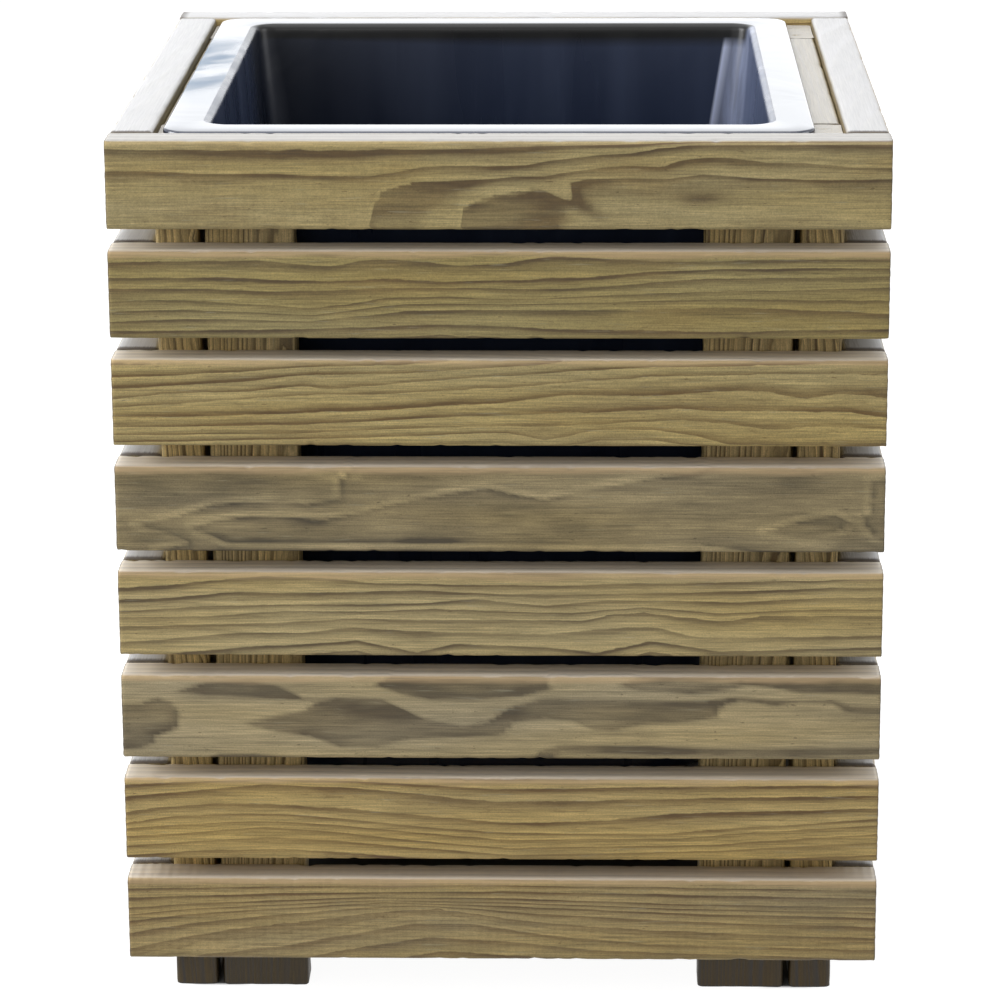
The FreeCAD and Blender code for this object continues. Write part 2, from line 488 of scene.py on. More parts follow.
class Wood(Nodes):
    """Planed softwood. Its noises run along the board's own log, in millimetres."""

    def __init__(self, name):
        super().__init__(bpy.data.materials.new(name))
        self.log = self.attribute("log", "Vector")
        self.small = self.grain((0.06, 0.15, 0.25), (3, 9, 4))
        self.fibre = self.grain((0.03, 1.0, 1.0), detail=3.0, rough=0.65)
        self.thread = self.grain((0.011, 0.5, 0.5), (2, 5, 9), 3.0, 0.6)
        self.cloud = self.grain((0.011, 0.03, 0.04), (11, 4, 2), 3.0, 0.6)
        self.facing = self.split(self.normal())
        self.spot = self.split(self.place())

    def grain(self, per_mm, start=(0, 0, 0), detail=2.0, rough=0.5):
        return self.noise(self.scaled(self.log, per_mm, start), 1.0, detail, rough)

    def bent_rings(self, wave, wiggle):
        """The board's count of rings, bent by slow, quick, small and tiny waves."""
        slow = self.grain((0.005, 0.012, 0.016), detail=1.0)
        quick = self.grain((0.02, 0.03, 0.045), (7, 3, 1))
        tiny = self.grain((0.17, 0.3, 0.4), (9, 2, 7))
        waves = self.plus(self.swing(slow, wave * 4.0), self.swing(quick, wave * 1.6),
                          self.swing(self.small, wiggle + wave * 0.3), self.swing(tiny, wiggle))
        return self.plus(self.attribute("rings"), waves)

    def paced(self, bent, pace_size):
        """The count of rings where some years grow faster than others."""
        along = self.made("ShaderNodeCombineXYZ", 0, {"X": bent})
        return self.plus(bent, self.times(self.noise(along, 0.35, 1.0), pace_size))

    def per_ring(self, phase):
        """A chance value of its own for each ring."""
        inputs = {"W": self.math("FLOOR", phase)}
        return self.made("ShaderNodeTexWhiteNoise", "Value", inputs, noise_dimensions="1D")

    def late_wood(self, phase, share, contrast):
        """How dark the rings are, some stronger than others, and each fading here and there."""
        fading = self.grain((0.014, 0.05, 0.07), (5, 5, 5))
        strong = self.times(self.span(self.per_ring(phase), 0.0, 1.0, 0.6, 1.2),
                            self.span(fading, 0.3, 0.65, 0.55, 1.2))
        return self.times(self.ramp(share, late_wood_band), strong, contrast)

    def fine_lines(self, bent, lines):
        """Thin lines between the rings."""
        phase = self.plus(self.times(bent, 2.7), self.swing(self.small, 1.2))
        tone = self.ramp(self.math("FRACT", phase), fine_line_band)
        return self.times(tone, self.span(self.per_ring(phase), 0.1, 1.0, 0.0, lines))

    def planed(self, dark, line, share, early, late, stain, blotch):
        """The fresh wood's colour: rings with a painted highlight where each starts, lines, stains,
        fibres, specks and flecks.
        """
        grit = self.noise(self.log, 1.1, 2.0, 0.7)
        speck = self.grain((0.16, 0.6, 0.6), (1, 8, 4))
        streak = self.grain((0.04, 0.8, 0.8), (6, 2, 8))
        hue = self.grain((0.004, 0.02, 0.03), (4, 7, 1), 1.0)
        color = self.mix(dark, early, late)
        color = self.mix(line, color, late)
        # A painted highlight where each ring starts
        color = self.tint(color, self.ramp(share, ring_start_highlight))
        color = self.mix(self.span(self.cloud, 0.46, 0.66, 0.0, blotch), color, stain)
        color = self.tint(color, self.ramp(self.fibre, [(0.25, 0.66), (0.75, 1.34)]))
        color = self.tint(color, self.ramp(self.thread, [(0.3, 0.76), (0.7, 1.2)]))
        color = self.tint(color, self.ramp(grit, [(0.3, 0.82), (0.7, 1.18)]))
        color = self.mix(self.span(speck, 0.70, 0.76, 0.0, 0.6), color, late)
        color = self.mix(self.span(streak, 0.66, 0.76, 0.0, 0.35), color, fleck_pale)
        return self.tint(color, self.ramp(hue, [(0.3, cool_cast), (0.7, warm_cast)]))

    def highlighted_edge(self, color, edge_highlight):
        """A painted highlight in tan along a front slat's upper edge, which starts about 25 mm above the
        slat's middle.
        """
        worn = self.plus(self.split(self.log)["Z"], self.swing(self.cloud, 9.0))
        rising = self.times(self.span(worn, 23.5, 26.5), self.span(self.facing["Y"], -0.1, -0.4),
                            self.span(self.thread, 0.3, 0.6, edge_highlight * 0.5, edge_highlight))
        return self.mix(rising, color, tan_highlight)

    def shaded(self, color, inside):
        """The colour of a side board, with painted shade on the face toward the liner."""
        inward = self.times(self.facing["X"], -1.0, self.math("SIGN", self.spot["X"]))
        return self.tint(color, self.ramp(inward, [(0.3, 1.0), (0.7, inside)]))

    def shaded_near_legs(self, pale):
        """The painted top light of the right side's lower slats, with painted shade near the legs."""
        x, y, z = self.spot
        nook = self.times(self.span(x, 0.224, 0.242, 0.8, 0.0), self.span(x, 0.2, 0.21),
                          self.span(z, 0.52, 0.54, 1.0, 0.0))
        return self.mix(self.times(nook, self.span(self.fibre, 0.35, 0.6)), pale, nook_shade)

    def dark_ends(self, color, end_dark):
        """Brown end grain that frays into the last millimetres of the faces. Where it reaches far onto the
        side slats' tops, it is also painted shade of their joints with the front slats.
        """
        frayed = self.plus(self.attribute("ends"), self.swing(self.fibre, end_dark * 0.8))
        return self.mix(self.span(frayed, end_dark * 0.3, end_dark, 0.8, 0.0), color, end_brown)

    def shade_feet(self, color):
        """Painted shade on the wood up to 3 to 7 cm above the ground."""
        rising = self.plus(self.spot["Z"], self.times(self.thread, 0.02))
        return self.mix(self.span(rising, 0.03, 0.07, 1.0, 0.0), color, self.tint(color, feet_shade_brown))

    def relief(self, dark, line, marks):
        """Raised fibres, sunk rings and lines, and a planer's marks across the board."""
        grain = self.plus(self.times(dark, -0.3), self.times(self.fibre, 0.45), self.times(line, -0.25))
        normal = self.bump(grain, grain_relief, 0.6)
        if marks:
            inputs = {"Vector": self.scaled(self.log, (0.05, 0.0, 0.0)), "Scale": 1.0}
            waves = self.made("ShaderNodeTexWave", "Fac", inputs, wave_type="BANDS", bands_direction="X")
            normal = self.bump(waves, marks * mm, 0.5, normal)
        return normal


def wood(name, early, late, stain, lit_top_colors, wave, wiggle=0.1, contrast=0.9, pace_size=2.6,
         blotch=0.35, marks=0.0, lines=0.4, lit_top_from=0.72, lit_top_share=0.8, edge_highlight=0.0,
         end_dark=1.9, inside=1.0, foot_shade=False):
    """A board's material.

    Contrast, wave, wiggle and pace_size say how dark the rings are, how they bend and how their pace
    changes; blotch, marks and lines how strong stains, planer's marks and fine lines are. Faces that
    look up by more than lit_top_from get the paler colours of painted top light, as fully as
    lit_top_share says. Edge_highlight is how strong the painted highlight on the upper front edge is,
    end_dark how many millimetres of the ends are dark, and inside how light the painted shade leaves
    the faces toward the liner.
    """
    n = Wood(name)
    bent = n.bent_rings(wave, wiggle)
    phase = n.paced(bent, pace_size)
    share = n.minus(1.0, n.math("FRACT", phase))
    dark = n.late_wood(phase, share, contrast)
    line = n.fine_lines(bent, lines)
    color = n.planed(dark, line, share, early, late, stain, blotch)
    # Painted top light: paler colours for the faces that look up, mixed in below
    pale = n.mix(n.times(dark, 0.6), *lit_top_colors)
    pale = n.tint(pale, n.ramp(n.fibre, [(0.25, 0.9), (0.75, 1.08)]))
    # A painted highlight along the front slats' upper edge
    if edge_highlight:
        color = n.highlighted_edge(color, edge_highlight)
    # Painted shade on the side boards' faces toward the liner, and near the right legs
    if inside < 1:
        color = n.shaded(color, inside)
        pale = n.shaded_near_legs(pale)
    color = n.mix(n.span(n.facing["Z"], lit_top_from, 0.97, 0.0, lit_top_share), color, pale)
    color = n.dark_ends(color, end_dark)
    # Painted shade at the feet
    if foot_shade:
        color = n.shade_feet(color)
    n.set("Base Color", color)
    n.set("Roughness", n.span(n.plus(n.fibre, dark), 0.2, 1.4, 0.62, 0.45))
    n.set("Normal", n.relief(dark, line, marks))
    return n.owner


# The liner's colours, and the places of its marks in metres: where the painted light on the right
# wall starts, how far it leans out as it rises, and where the painted highlight in the back right
# corner stands and leans
tub_blue = linear(38, 47, 68)
tub_light_blue = linear(46, 56, 79)
drip_blue = linear(62, 70, 92)
right_light_blue = linear(98, 110, 143)
highlight_pale = linear(214, 222, 246)
reflection_blue = linear(66, 98, 128)
black = (0, 0, 0, 1)
right_light_x = 0.12
right_light_lean = 0.06
highlight_x = 0.1585
highlight_top = 0.58
highlight_lean = 0.16


class Gloss(Nodes):
    """High-gloss near-black plastic with a blue cast: what the tub's and the rim's materials share."""

    def __init__(self, name, specular_level):
        super().__init__(bpy.data.materials.new(name))
        self.set("Specular IOR Level", specular_level)
        self.spot = self.place()
        self.x, self.y, self.z = self.split(self.spot)
        self.lanes = self.noise(self.scaled(self.spot, (34, 34, 1.5), (4, 1, 2)), 1.0)
        self.cloud = self.noise(self.scaled(self.spot, (11, 7, 9), (0.3, 0.2, 0)), 1.0, 3.0, 0.55, 0.8)
        self.color = self.mix(self.span(self.lanes, 0.35, 0.8), tub_blue, tub_light_blue)

    def finish(self, color, rough, dust_depth):
        """Sets the surface, with soft waves and fine dust."""
        dust = self.noise(self.spot, 520.0, 3.0, 0.6)
        waves = self.bump(self.cloud, 1.5 * mm, 0.4)
        self.set("Base Color", color)
        self.set("Roughness", rough)
        self.set("Normal", self.bump(dust, dust_depth, 0.3, waves))
        return self.owner


def tub_plastic():
    """The walls: drips, painted light on the right wall and a painted highlight in the back right corner,
    and painted shade at the left end and on the back shoulder.
    """
    n = Gloss("liner_tub_gloss", 0.42)
    facing = n.split(n.normal())
    inner_side = n.span(n.plus(facing["X"], facing["Y"]), -0.3, 0.0, 1.0, 0.0)

    drips = n.noise(n.scaled(n.spot, (150, 150, 3)), 1.0, 3.0, 0.65)
    color = n.mix(n.span(drips, 0.6, 0.85, 0.0, 0.4), n.color, drip_blue)

    # Painted light on the right wall, in streaks, weaker toward the front
    streaks = n.noise(n.scaled(n.spot, (260, 260, 4), (2, 6, 3)), 1.0, 3.0, 0.7)
    right_side = n.span(n.minus(n.x, n.times(n.z, right_light_lean)), right_light_x, right_light_x + 0.01)
    right_wall_light = n.times(right_side, n.span(streaks, 0.38, 0.66, 0.25, 0.95), n.span(n.y, -0.12, 0.16, 0.5, 1.0))
    color = n.mix(n.times(right_wall_light, inner_side), color, right_light_blue)

    # A painted highlight along the back right corner
    lean = n.times(n.minus(n.z, highlight_top), highlight_lean)
    past_highlight = n.minus(n.minus(n.x, highlight_x), lean)
    corner_highlight = n.times(n.span(past_highlight, -0.0025, -0.0004), n.span(past_highlight, 0.0, 0.005, 1.0, 0.2),
                   n.span(n.y, 0.15, 0.165), n.span(n.z, 0.4, highlight_top, 0.3, 1.0), inner_side)
    color = n.mix(corner_highlight, color, highlight_pale)

    # Painted shade at the left end of the back wall and on the back shoulder
    left_shade = n.times(n.span(n.x, -0.17, 0.0, 0.75, 0.0), n.span(n.y, 0.1, 0.15))
    back_shoulder_shade = n.times(n.span(n.z, 0.572, 0.58), n.span(n.y, 0.18, 0.185))
    color = n.mix(n.math("MAXIMUM", left_shade, back_shoulder_shade), color, black)
    return n.finish(color, n.span(n.lanes, 0.3, 0.7, 0.24, 0.36), 0.015 * mm)


def rim_plastic():
    """The rim: clean and bright, with a painted blue-grey reflection in clouds along the left."""
    n = Gloss("liner_rim_gloss", 0.85)
    left_flange = n.times(n.span(n.x, -0.18, -0.19), n.span(n.y, -0.14, -0.04),
                          n.span(n.y, 0.08, 0.15, 1.0, 0.0))
    # A painted blue-grey reflection in clouds on the left flange
    reflected_clouds = n.times(n.span(n.cloud, 0.33, 0.5), left_flange)
    color = n.mix(reflected_clouds, n.color, reflection_blue)
    return n.finish(color, n.span(reflected_clouds, 0.0, 1.0, 0.08, 0.5), 0.004 * mm)


def steel():
    """Plain passivated screw steel."""
    n = Nodes(bpy.data.materials.new("screw_steel"))
    grime = n.noise(n.place(), 900.0, 3.0, 0.6)
    n.set("Base Color", n.mix(grime, linear(170, 160, 120), linear(120, 112, 90)))
    n.set("Roughness", n.span(grime, 0.3, 0.7, 0.3, 0.5))
    n.set("Metallic", 1.0)
    return n.owner


# The boards' looks

pale_olive = linear(196, 178, 127)
gold = linear(204, 180, 121)
grey_tan = linear(186, 169, 124)
deep_brown = linear(104, 84, 46)
deep_gold = linear(116, 88, 40)
deep_grey = linear(96, 84, 56)
grey_stain = linear(134, 122, 92)
warm_stain = linear(150, 126, 78)
olive_stain = linear(96, 86, 60)

# Painted top light: the paler colours of faces that look up are a pair, of early and late wood. The front
# slats also get a painted highlight along their upper edge
low_front = {"pace_size": 0.0, "edge_highlight": 0.75, "end_dark": 1.2,
             "lit_top_colors": (linear(250, 240, 226), linear(224, 212, 195))}
top_front = {"edge_highlight": 0.3, "lit_top_colors": (linear(196, 196, 198), linear(176, 173, 168))}
# The side boards: painted top light, painted shade on their faces toward the liner and near the right
# legs, and ends dark for 6.5 mm, which is end grain and in part painted shade of their joints with the
# front slats
lit_and_shaded_side = {"lit_top_colors": (linear(209, 210, 213), linear(199, 198, 200)),
                  "lit_top_from": 0.3, "lit_top_share": 0.93, "end_dark": 6.5, "inside": 0.4, "pace_size": 0.8}
lit_top_inner = {"lit_top_colors": (linear(216, 214, 210), linear(194, 190, 184))}


def front_wood(number, early, late, stain=warm_stain, **looks):
    """A front slat's wood: the lower slats' looks, apart from those given."""
    return wood("front_wood_%d" % number, linear(*early), linear(*late), stain, **{**low_front, **looks})


# The front slats' wood, from the lowest to the highest
front_looks = [
    front_wood(1, (191, 169, 118), (108, 84, 48), grey_stain,
               contrast=1.05, wave=0.12, marks=0.25, lines=0.5),
    front_wood(2, (211, 184, 120), (106, 79, 36), contrast=1.0, wave=0.15, blotch=0.4),
    front_wood(3, (198, 180, 138), (88, 75, 50), grey_stain,
               contrast=1.5, wave=0.1, wiggle=0.03, lines=0.25),
    front_wood(4, (210, 188, 131), (98, 80, 47), contrast=1.05, wave=0.12, blotch=0.25),
    front_wood(5, (194, 175, 131), (66, 56, 35), olive_stain,
               contrast=1.6, wave=0.16, wiggle=0.03, blotch=0.55, lines=0.25),
    front_wood(6, (202, 181, 122), (106, 81, 38), contrast=0.95, wave=0.15),
    front_wood(7, (179, 162, 107), (86, 68, 37), contrast=1.15, wave=0.14),
    front_wood(8, (195, 177, 125), (86, 67, 35),
               contrast=1.5, wave=0.12, wiggle=0.02, blotch=0.4, marks=0.15, lines=0.3, **top_front),
]

# The wood of all other slats
other_looks = [
    wood("side_wood_1", pale_olive, deep_brown, warm_stain, wave=0.3, **lit_and_shaded_side),
    wood("side_wood_2", gold, deep_gold, warm_stain,
         contrast=0.85, wave=0.25, blotch=0.4, **lit_and_shaded_side),
    wood("side_wood_3", grey_tan, deep_grey, grey_stain,
         contrast=1.0, wave=0.35, blotch=0.5, **lit_and_shaded_side),
]

# The legs: painted top light, and painted shade at the feet
leg_wood = wood("leg_wood", linear(222, 198, 140), deep_brown, linear(162, 140, 94),
                contrast=1.1, wave=0.3, blotch=0.3, lines=0.7, foot_shade=True, **lit_top_inner)
inner_wood = wood("inner_wood", linear(200, 184, 142), linear(120, 102, 64), grey_stain,
                  contrast=0.8, wave=0.7, blotch=0.3, **lit_top_inner)

# Figures of the front slats, counted from the top. The lines run from the lowest to the highest, each
# with its count of rings. Those in pixels are read off the photograph: the top slat's lines, the
# fourth's nested flames, and the sixth's patches of late wood.
top_slat_line_pixels = [
    (0.1, [(90, 240), (900, 240)]),
    (0.72, [(90, 238), (462, 238), (540, 237), (562, 226), (570, 208), (580, 190), (600, 184), (650, 182),
            (705, 178), (800, 183), (900, 182)]),
    (1.0, [(90, 236), (461, 236), (464, 207), (475, 200), (500, 193), (550, 186), (575, 180), (600, 178),
           (670, 179), (705, 174), (760, 178), (830, 180), (900, 178)]),
    (1.75, [(90, 235.5), (376, 235.3), (412, 234), (424, 222), (436, 205), (455, 192), (480, 186),
            (500, 181), (550, 178), (600, 171), (625, 169), (665, 170), (690, 165), (715, 162),
            (765, 166), (900, 170)]),
    (2.0, [(90, 235), (374, 234), (376, 210), (381, 192), (400, 185), (420, 181), (500, 177), (550, 174),
           (600, 167), (625, 165), (665, 167), (675, 162), (690, 159), (715, 157), (740, 158), (765, 162),
           (800, 162), (850, 167), (900, 167)]),
    (2.5, [(90, 180), (250, 181), (350, 184), (400, 181), (425, 176), (500, 174), (550, 168), (600, 162),
           (640, 160), (665, 156), (700, 152), (900, 152)]),
    (3.0, [(90, 172), (150, 171), (250, 174), (350, 178), (375, 177), (400, 173), (425, 167), (450, 165),
           (500, 165), (530, 164), (550, 160), (600, 154), (640, 152), (665, 147), (700, 145),
           (900, 144)]),
    (4.0, [(90, 148), (200, 148), (290, 152), (330, 153), (400, 150), (500, 147), (700, 143),
           (900, 141)]),
    (4.3, [(90, 136), (900, 132)]),
]
top_slat_swells = [
    (55, -14, 9, 15, 0.38, -1.25),
    (126, -9, 20, 6, 0.35, 0),
    (-200, -27, 40, 3, 0.2, 0),
]
second_slat_lines = [
    (0, [(-250, -24), (-155, -23), (-84, -21), (-36, -19), (65, -23), (160, -23), (250, -21)]),
    (1, [(-250, -18), (-203, -16), (-120, -17), (-96, -14), (-60, -10), (6, -9), (160, -7), (196, -9),
         (250, -11)]),
    (3, [(-250, -5), (-203, -4), (-120, -9), (-96, -6), (-72, -2), (-36, -1), (6, -3), (89, 1),
         (250, 5)]),
    (4, [(-250, 4), (-191, 4), (-143, 2), (-84, 4), (-48, 5), (41, 4), (89, 7), (137, 11), (250, 12)]),
    (5, [(-250, 11), (-191, 12), (-108, 9), (-72, 10), (-36, 8), (53, 11), (101, 15), (137, 17),
         (250, 18)]),
    (6, [(-250, 22), (-155, 23), (-108, 19), (-84, 23), (-65, 23), (-24, 19), (0, 20), (36, 25),
         (101, 21), (250, 24)]),
    (7, [(-250, 32), (250, 32)]),
]
third_slat_lines = [
    (0, [(-250, -26), (-85, -22), (6, -19), (30, -24), (65, -17), (101, -17), (128, -21), (150, -27),
         (250, -29)]),
    (1, [(-250, -21), (-132, -20), (-60, -16), (65, -14), (118, -10), (147, -12), (171, -16), (200, -14),
         (250, -16)]),
    (2, [(-250, -16), (-132, -14), (-60, -10), (65, -6), (113, -3), (142, -5), (176, -4), (224, -5),
         (250, -9)]),
    (3, [(-250, -9), (-204, -9), (-108, -5), (0, 0), (41, 5), (101, 5), (137, 8), (173, 8), (197, 4),
         (221, 8), (250, 5)]),
    (4, [(-250, -3), (-204, 0), (-144, 5), (-60, 8), (0, 10), (65, 15), (113, 19), (250, 21)]),
    (5, [(-250, 2), (-216, 6), (-168, 7), (-127, 11), (-108, 9), (-60, 14), (6, 18), (101, 24),
         (250, 27)]),
    (6, [(-250, 9), (-216, 11), (-168, 14), (-120, 19), (-60, 20), (6, 24), (65, 28), (250, 34)]),
    (8, [(-250, 25), (-150, 28), (0, 34), (250, 48)]),
]
fourth_slat_flame_pixels = [
    [(133, 523), (174, 514), (211, 502), (248, 499), (278, 499), (307, 501), (337, 496), (341, 477),
     (362, 455), (930, 455), (930, 565), (150, 565), (152, 548), (187, 540), (163, 531)],
    [(187, 526), (211, 518), (248, 513), (285, 514), (322, 516), (359, 510), (396, 500), (485, 485),
     (523, 493), (546, 497), (577, 489), (640, 478), (692, 470), (780, 450), (930, 450), (930, 570),
     (700, 542), (228, 541), (206, 533)],
    [(762, 528), (800, 517), (835, 511), (851, 519), (838, 530), (800, 534)],
    [(870, 478), (930, 470), (930, 545), (876, 536), (862, 520), (872, 500)],
]
fifth_slat_lines = [
    (0, [(-250, -31), (-216, -28), (-141, -22), (-94, -18), (-54, -26), (-29, -20), (31, -22), (64, -26),
         (99, -18), (144, -25), (250, -21)]),
    (1, [(-250, -21), (-216, -18), (-171, -13), (-129, -13), (-99, -9), (-41, -12), (31, -13), (84, -8),
         (104, -9), (131, -16), (250, -13)]),
    (2, [(-250, -9), (-166, -7), (-94, -3), (-54, -4), (0, -3), (56, -4), (74, 1), (94, 2), (144, -4),
         (169, 0), (250, 0)]),
    (3, [(-250, -3), (-191, -2), (-141, 2), (-91, 2), (-41, 4), (44, 1), (94, 5), (144, 1), (209, 4),
         (250, 4)]),
    (4, [(-250, 1), (-204, 4), (-154, 6), (-54, 7), (-14, 11), (31, 6), (69, 10), (156, 9), (206, 12),
         (250, 12)]),
    (5, [(-250, 9), (-216, 10), (-179, 14), (-141, 14), (-54, 17), (-16, 15), (44, 14), (119, 15),
         (219, 19), (250, 19)]),
    (6, [(-250, 17), (-224, 18), (-191, 22), (-154, 26), (-114, 25), (-79, 21), (44, 20), (144, 22),
         (250, 25)]),
    (7, [(-250, 31), (250, 33)]),
]
sixth_slat_patch_pixels = [
    [(105, 704), (135, 702), (152, 696), (170, 702), (178, 716), (172, 730), (150, 738), (152, 743),
     (135, 749), (105, 751)],
    [(235, 723), (268, 715), (300, 709), (312, 701), (335, 696), (380, 698), (420, 716), (460, 724),
     (482, 721), (510, 704), (540, 697), (650, 698), (705, 698), (730, 694), (790, 697), (835, 697),
     (850, 703), (900, 704), (900, 714), (845, 710), (834, 703), (800, 701), (775, 705), (760, 702),
     (740, 700), (724, 704), (716, 717), (685, 721), (642, 724), (615, 730), (592, 729), (568, 720),
     (545, 718), (515, 722), (500, 735), (470, 737), (410, 738), (372, 747), (335, 747), (308, 737),
     (270, 732)],
    [(370, 684), (392, 674), (545, 674), (552, 688), (520, 696), (470, 699), (430, 699), (400, 694)],
    [(610, 684), (640, 674), (900, 674), (900, 694), (850, 692), (800, 692), (775, 687), (748, 684),
     (728, 689), (690, 693), (640, 690)],
    [(525, 765), (538, 748), (560, 742), (650, 743), (760, 746), (900, 744), (900, 752), (800, 755),
     (650, 754), (560, 752), (545, 765)],
    [(190, 765), (212, 752), (250, 752), (300, 757), (310, 765)],
    [(165, 692), (200, 681), (245, 679), (275, 684), (300, 696), (330, 697), (300, 700), (210, 697)],
]
seventh_slat_lines = [
    (0, [(-252, -26), (-206, -23), (-143, -22), (-80, -26), (0, -30), (120, -30), (180, -28),
         (250, -24)]),
    (1, [(-252, -19), (-206, -16), (-156, -14), (-105, -16), (-54, -20), (6, -25), (145, -22),
         (250, -15)]),
    (2, [(-252, -12), (-206, -10), (-156, -6), (-105, -10), (-42, -16), (6, -20), (145, -18), (250, -9)]),
    (3, [(-252, -7), (-206, -4), (-156, -2), (-105, -5), (-42, -10), (6, -14), (120, -13), (170, -8),
         (250, -3)]),
    (4, [(-252, -4), (-219, 1), (-181, 3), (-143, 3), (-42, -6), (6, -9), (107, -11), (145, -8),
         (250, 1)]),
    (5, [(-252, 4), (-219, 8), (-194, 10), (-156, 9), (-54, 3), (6, -2), (69, -1), (107, 3), (250, 8)]),
    (6, [(-252, 15), (-206, 19), (-156, 24), (-105, 22), (0, 13), (100, 14), (250, 17)]),
    (8, [(-252, 32), (0, 30), (250, 32)]),
]
lowest_slat_lines = [
    (0, [(-250, -62), (-150, -45), (-100, -33), (-40, -24), (0, -26), (100, -31), (250, -34)]),
    (1, [(-250, -48), (-150, -31), (-100, -22), (-50, -14), (0, -16), (60, -22), (250, -27)]),
    (2, [(-255, -34), (-200, -27), (-150, -20), (-100, -12), (-60, -4), (-20, -4), (30, -12), (100, -18),
         (250, -20)]),
    (3, [(-255, -23), (-220, -15), (-182, -8), (-131, -2), (-80, 5), (-42, 8), (6, 0), (60, -6),
         (250, -12)]),
    (4, [(-255, -12), (-208, -4), (-156, 2), (-105, 7), (-60, 10), (-20, 8), (20, 4), (100, 0),
         (250, -4)]),
    (5, [(-255, -3), (-208, 3), (-156, 7), (-80, 12), (0, 10), (100, 6), (250, 3)]),
    (7, [(-255, 6), (-208, 10), (-100, 15), (0, 15), (100, 12), (250, 10)]),
    (8, [(-255, 14), (-150, 18), (0, 20), (250, 17)]),
    (10, [(-255, 27), (0, 29), (250, 28)]),
]

# The figure of each front slat, from the lowest to the highest
front_figures = [
    Traced(1, lowest_slat_lines),
    Traced(2, seventh_slat_lines),
    Patched(3, [on_slat(*sixth_slat_pixels, patch) for patch in sixth_slat_patch_pixels],
            shares=(0.34, 0.24, 0.88, 0.74), edge=1.6, reach_out=4, reach_in=14),
    Traced(4, fifth_slat_lines),
    Patched(5, [on_slat(*fourth_slat_pixels, flame) for flame in fourth_slat_flame_pixels],
            shares=(0.66, 0.2, 0.86, 0.66), edge=1.0, reach_out=4, reach_in=6),
    Traced(6, third_slat_lines, falling=False),
    Traced(7, second_slat_lines),
    Traced(8, [(count, on_slat(*top_slat_pixels, line)) for count, line in top_slat_line_pixels],
           top_slat_swells),
]


# The box

def slats():
    """The four walls of slats. A side's seed step keeps its boards unlike the other sides'."""
    sides = (("back", 0, 3, end_ease), ("left", 1, 5, side_end_ease), ("right", 1, 6, side_end_ease))
    for number, (figure, look) in enumerate(zip(front_figures, front_looks), 1):
        plank("front_slat_%d" % number, 0, figure, look, fine=True)
        for side, grain, step, ease in sides:
            cut = Log(seed=number * 7 + step, across=30 * step - 90 + 17 * number, deep=20 + 5 * step,
                      lean_across=40 - 13 * number, lean_deep=30, ring=5.0)
            other = other_looks[(number * 2 + step) % len(other_looks)]
            plank("%s_slat_%d" % (side, number), grain, cut, other, ease=ease)


def legs():
    for index, corner in enumerate(("front_left", "front_right", "back_left", "back_right")):
        side_cut = Log(70 + index, across=60, deep=30, ring=1.5)
        plank(corner + "_leg_side_batten", 2, side_cut, leg_wood)
        face_cut = Log(80 + index, across=50 + 9 * index, deep=25, lean_across=-20, ring=1.5)
        plank(corner + "_leg_face_batten", 2, face_cut, leg_wood)


def inner_boards():
    for index, hand in enumerate(("left", "right")):
        plank(hand + "_rim_rail", 1, Log(90 + index, across=70, deep=40), inner_wood)
        plank(hand + "_floor_bearer", 1, Log(94 + index, across=55, deep=35), inner_wood)
    for number in range(1, 6):
        cut = Log(100 + number, across=20 * number, deep=30)
        plank("floor_board_%d" % number, 0, cut, inner_wood)


def screws():
    """Gives the CAD's own screws their steel."""
    screw_steel = steel()
    for name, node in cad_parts.items():
        if name.endswith("_screws"):
            node.data.materials.clear()
            node.data.materials.append(screw_steel)


# The liner

